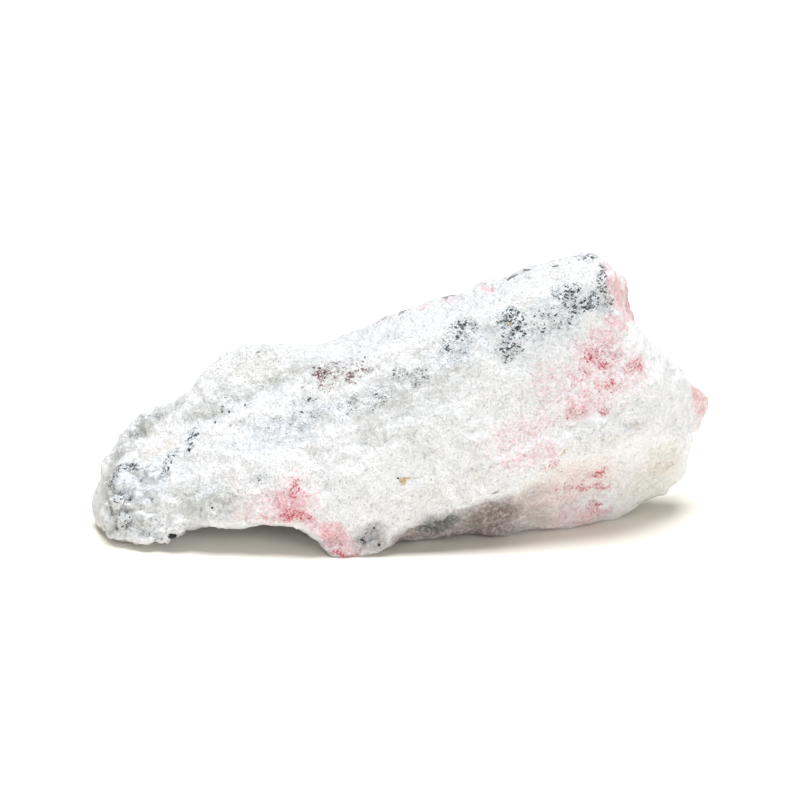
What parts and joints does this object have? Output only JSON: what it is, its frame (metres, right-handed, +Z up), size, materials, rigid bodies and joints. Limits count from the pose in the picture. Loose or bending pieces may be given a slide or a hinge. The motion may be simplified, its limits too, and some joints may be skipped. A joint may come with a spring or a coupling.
{
  "type": "tugtupite specimen stone",
  "caption": "Rough hand-sized piece of layered white granular rock with raspberry-pink tugtupite patches, slate-dark mineral streaks and small worn flats to rest on.",
  "frame": {"origin": "middle of the bounding box in plan, at the level of the flats the stone rests on", "axes": "+Z up, +X along the long side towards the high pointed end, -Y towards the broad sloping front face"},
  "size_m": [0.0668, 0.0252, 0.0287],
  "materials": {
    "granular_rock": "rough, sugary, slightly translucent white rock with pink patches"
  },
  "bodies": {
    "root": {"tugtupite_stone": "granular_rock"}
  },
  "joints": []
}
